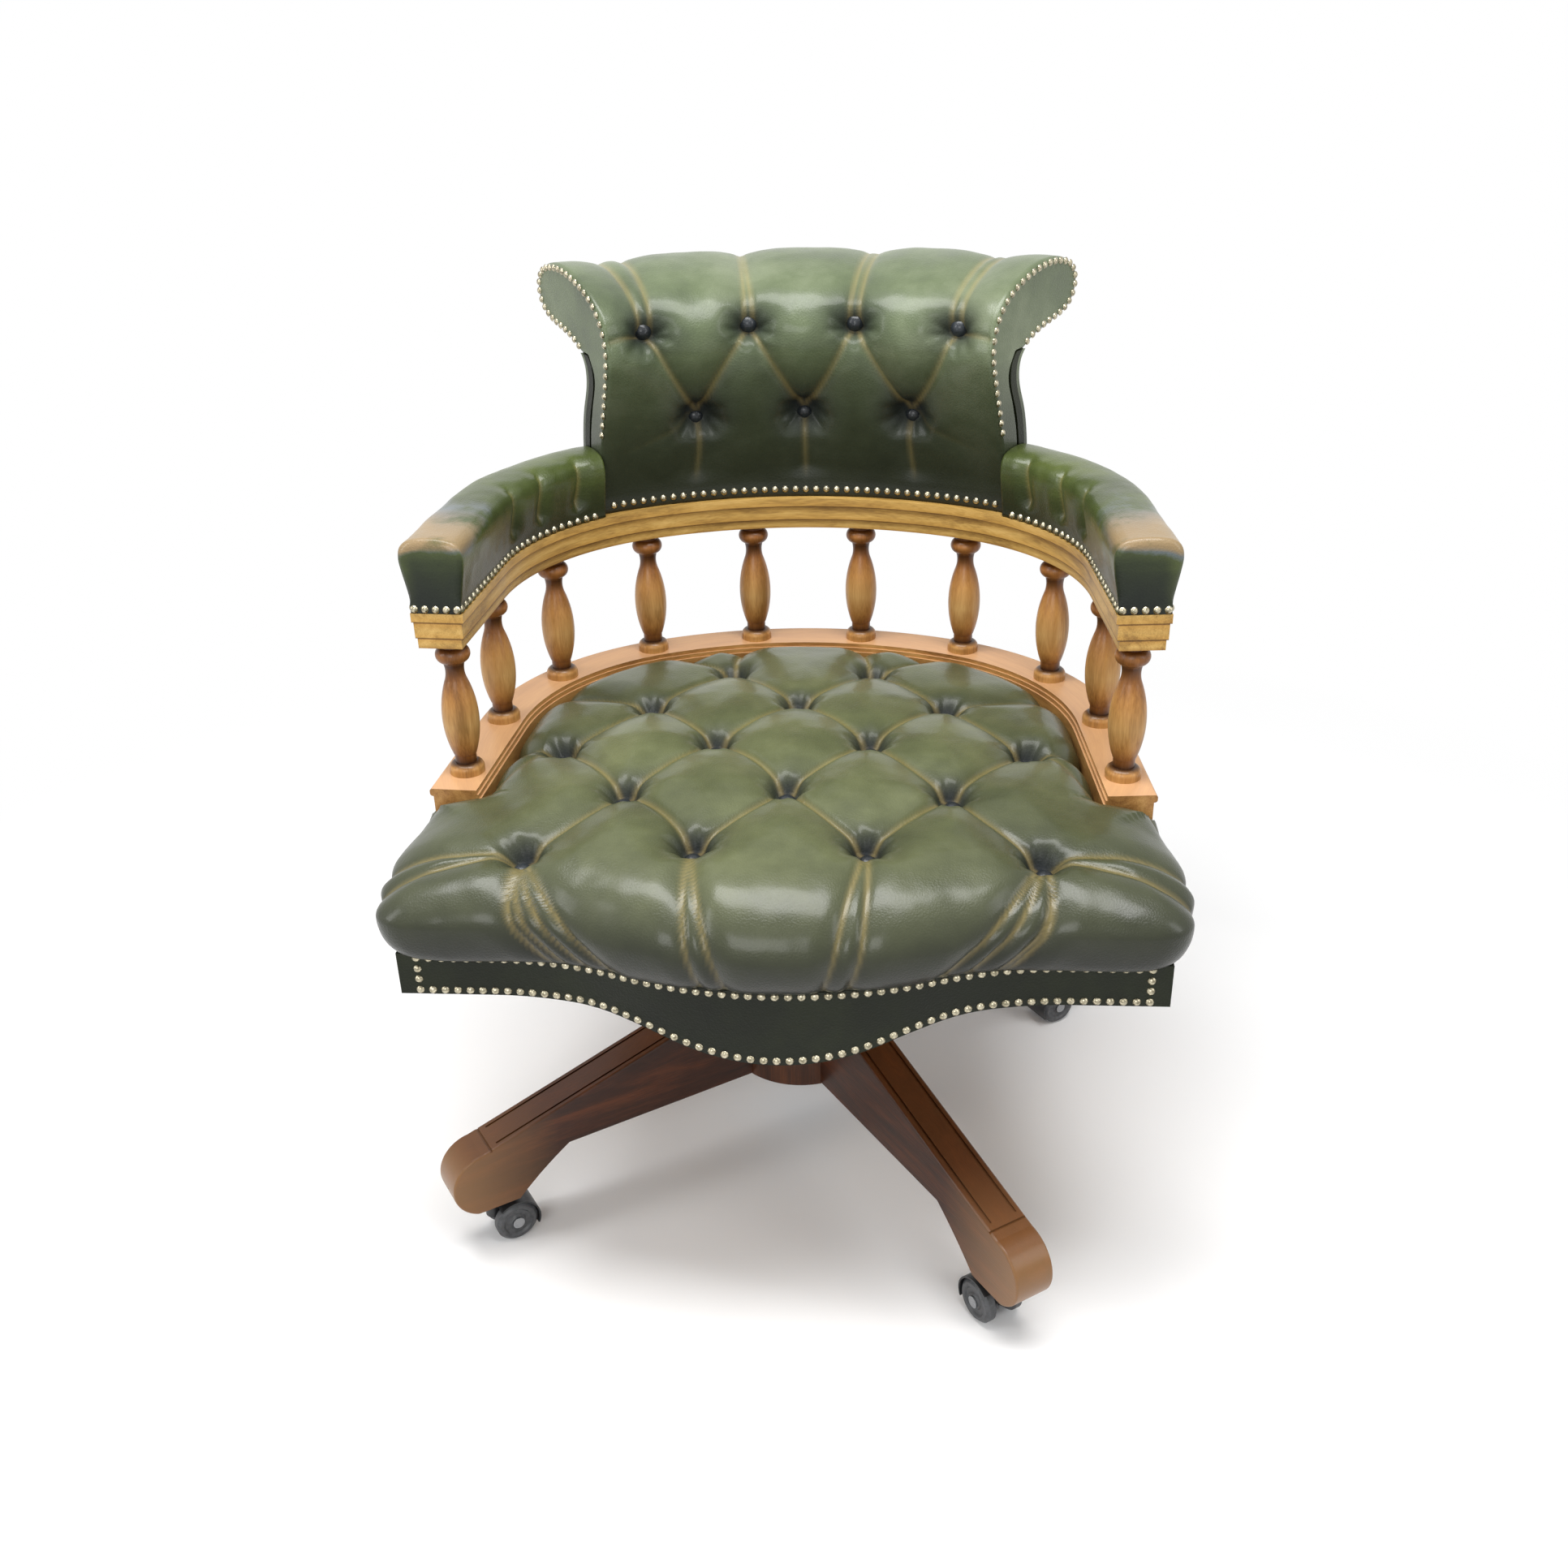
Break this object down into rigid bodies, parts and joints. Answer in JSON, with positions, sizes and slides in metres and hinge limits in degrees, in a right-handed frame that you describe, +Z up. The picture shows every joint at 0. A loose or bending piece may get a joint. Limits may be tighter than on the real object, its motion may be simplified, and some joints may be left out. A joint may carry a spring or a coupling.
{
  "type": "buttoned leather captain's swivel desk chair",
  "caption": "Captain's swivel desk chair with a scrolled buttoned leather back and seat, turned spindles under a horseshoe arm bow, and a wooden star base on castors.",
  "frame": {"origin": "on the floor, on the axis that the seat turns about", "axes": "+Z up, +Y towards the back of the chair, +X towards the sitter's left as they sit, which is the right of the front view"},
  "size_m": [0.65, 0.6725, 0.8047],
  "materials": {
    "frame_wood": "satin",
    "base_wood": "satin",
    "inner_wood": "matt",
    "seat_leather": "antiqued, semi-gloss",
    "dark_leather": "antiqued, semi-gloss",
    "arm_leather": "worn, semi-gloss",
    "nail_brass": "antiqued",
    "black_steel": "satin",
    "bright_steel": "brushed",
    "black_plastic": "matt",
    "wheel_plastic": "satin"
  },
  "bodies": {
    "base": {"leg_1": "base_wood", "leg_2": "base_wood", "leg_3": "base_wood", "leg_4": "base_wood", "hub": "base_wood", "base_plate": "black_steel", "base_screws": "bright_steel", "column_tube": "black_steel", "guide_bush": "black_plastic", "castor_stems": "bright_steel"},
    "hand_wheel": {"hand_wheel": "black_steel"},
    "lift": {"lift_screw": "bright_steel", "retaining_ring": "bright_steel"},
    "swivel": {"cradle": "black_steel", "pivot_pin": "bright_steel", "tension_spring": "bright_steel"},
    "seat": {"tilt_plate": "black_steel", "plate_bolts": "bright_steel", "tension_bolt": "bright_steel", "seat_board": "inner_wood", "seat_frame": "inner_wood", "seat_rail": "frame_wood", "apron": "dark_leather", "seat_cushion": "seat_leather", "tufting_buttons": "seat_leather", "arm_bow": "frame_wood", "arm_pad_left": "arm_leather", "arm_pad_right": "arm_leather", "back_board": "inner_wood", "back_cushion": "seat_leather", "back_cover": "dark_leather", "upholstery_nails": "nail_brass", "spindle_left_1": "frame_wood", "spindle_left_2": "frame_wood", "spindle_left_3": "frame_wood", "spindle_left_4": "frame_wood", "spindle_left_5": "frame_wood", "spindle_right_1": "frame_wood", "spindle_right_2": "frame_wood", "spindle_right_3": "frame_wood", "spindle_right_4": "frame_wood", "spindle_right_5": "frame_wood"},
    "spring_cup": {"spring_cup": "black_steel"},
    "tension_knob": {"tension_knob": "black_plastic"},
    "castor_1": {"castor_hood_1": "black_plastic", "castor_axle_1": "bright_steel"},
    "castor_1_wheel_a": {"castor_wheel_1_a": "wheel_plastic"},
    "castor_1_wheel_b": {"castor_wheel_1_b": "wheel_plastic"},
    "castor_2": {"castor_hood_2": "black_plastic", "castor_axle_2": "bright_steel"},
    "castor_2_wheel_a": {"castor_wheel_2_a": "wheel_plastic"},
    "castor_2_wheel_b": {"castor_wheel_2_b": "wheel_plastic"},
    "castor_3": {"castor_hood_3": "black_plastic", "castor_axle_3": "bright_steel"},
    "castor_3_wheel_a": {"castor_wheel_3_a": "wheel_plastic"},
    "castor_3_wheel_b": {"castor_wheel_3_b": "wheel_plastic"},
    "castor_4": {"castor_hood_4": "black_plastic", "castor_axle_4": "bright_steel"},
    "castor_4_wheel_a": {"castor_wheel_4_a": "wheel_plastic"},
    "castor_4_wheel_b": {"castor_wheel_4_b": "wheel_plastic"}
  },
  "joints": [
    {"name": "height_wheel_turn", "type": "hinge", "parent": "base", "child": "hand_wheel", "pos_m": [0, 0, 0.2127], "axis": [0, 0, 1], "range_deg": [0, 3600.1]},
    {"name": "height_slide", "type": "slide", "parent": "base", "child": "lift", "axis": [0, 0, 1], "range_m": [0, 0.06]},
    {"name": "seat_swivel", "type": "hinge", "parent": "lift", "child": "swivel", "pos_m": [0, 0, 0.2434], "axis": [0, 0, 1], "continuous": true},
    {"name": "seat_tilt", "type": "hinge", "parent": "swivel", "child": "seat", "pos_m": [0, 0.02, 0.2774], "axis": [-1, 0, 0], "range_deg": [0, 10], "stiffness_Nm_per_rad": 60, "springref_deg": -34.38, "deforming": ["tension_spring"]},
    {"name": "tension_slide", "type": "slide", "parent": "seat", "child": "spring_cup", "axis": [0, 0, 1], "range_m": [0, 0.004], "deforming": ["tension_spring"]},
    {"name": "tension_knob_turn", "type": "hinge", "parent": "spring_cup", "child": "tension_knob", "pos_m": [0, -0.09, 0.2023], "axis": [0, 0, 1], "range_deg": [0, 1440.1]},
    {"name": "castor_1_swivel", "type": "hinge", "parent": "base", "child": "castor_1", "pos_m": [-0.27773, -0.18733, 0.0353], "axis": [0, 0, 1], "continuous": true},
    {"name": "castor_1_wheel_a_roll", "type": "hinge", "parent": "castor_1", "child": "castor_1_wheel_a", "pos_m": [-0.26446, -0.17838, 0.02], "axis": [-0.5592, 0.829, 0], "continuous": true},
    {"name": "castor_1_wheel_b_roll", "type": "hinge", "parent": "castor_1", "child": "castor_1_wheel_b", "pos_m": [-0.26446, -0.17838, 0.02], "axis": [-0.5592, 0.829, 0], "continuous": true},
    {"name": "castor_2_swivel", "type": "hinge", "parent": "base", "child": "castor_2", "pos_m": [0.18733, -0.27773, 0.0353], "axis": [0, 0, 1], "continuous": true},
    {"name": "castor_2_wheel_a_roll", "type": "hinge", "parent": "castor_2", "child": "castor_2_wheel_a", "pos_m": [0.17838, -0.26446, 0.02], "axis": [-0.829, -0.5592, 0], "continuous": true},
    {"name": "castor_2_wheel_b_roll", "type": "hinge", "parent": "castor_2", "child": "castor_2_wheel_b", "pos_m": [0.17838, -0.26446, 0.02], "axis": [-0.829, -0.5592, 0], "continuous": true},
    {"name": "castor_3_swivel", "type": "hinge", "parent": "base", "child": "castor_3", "pos_m": [0.27773, 0.18733, 0.0353], "axis": [0, 0, 1], "continuous": true},
    {"name": "castor_3_wheel_a_roll", "type": "hinge", "parent": "castor_3", "child": "castor_3_wheel_a", "pos_m": [0.26446, 0.17838, 0.02], "axis": [0.5592, -0.829, 0], "continuous": true},
    {"name": "castor_3_wheel_b_roll", "type": "hinge", "parent": "castor_3", "child": "castor_3_wheel_b", "pos_m": [0.26446, 0.17838, 0.02], "axis": [0.5592, -0.829, 0], "continuous": true},
    {"name": "castor_4_swivel", "type": "hinge", "parent": "base", "child": "castor_4", "pos_m": [-0.18733, 0.27773, 0.0353], "axis": [0, 0, 1], "continuous": true},
    {"name": "castor_4_wheel_a_roll", "type": "hinge", "parent": "castor_4", "child": "castor_4_wheel_a", "pos_m": [-0.17838, 0.26446, 0.02], "axis": [0.829, 0.5592, 0], "continuous": true},
    {"name": "castor_4_wheel_b_roll", "type": "hinge", "parent": "castor_4", "child": "castor_4_wheel_b", "pos_m": [-0.17838, 0.26446, 0.02], "axis": [0.829, 0.5592, 0], "continuous": true}
  ],
  "couplings": [
    {"joint": "height_wheel_turn", "follows": "height_slide", "rad_per_m": 1047.2},
    {"joint": "tension_knob_turn", "follows": "tension_slide", "rad_per_m": 6283.2}
  ]
}
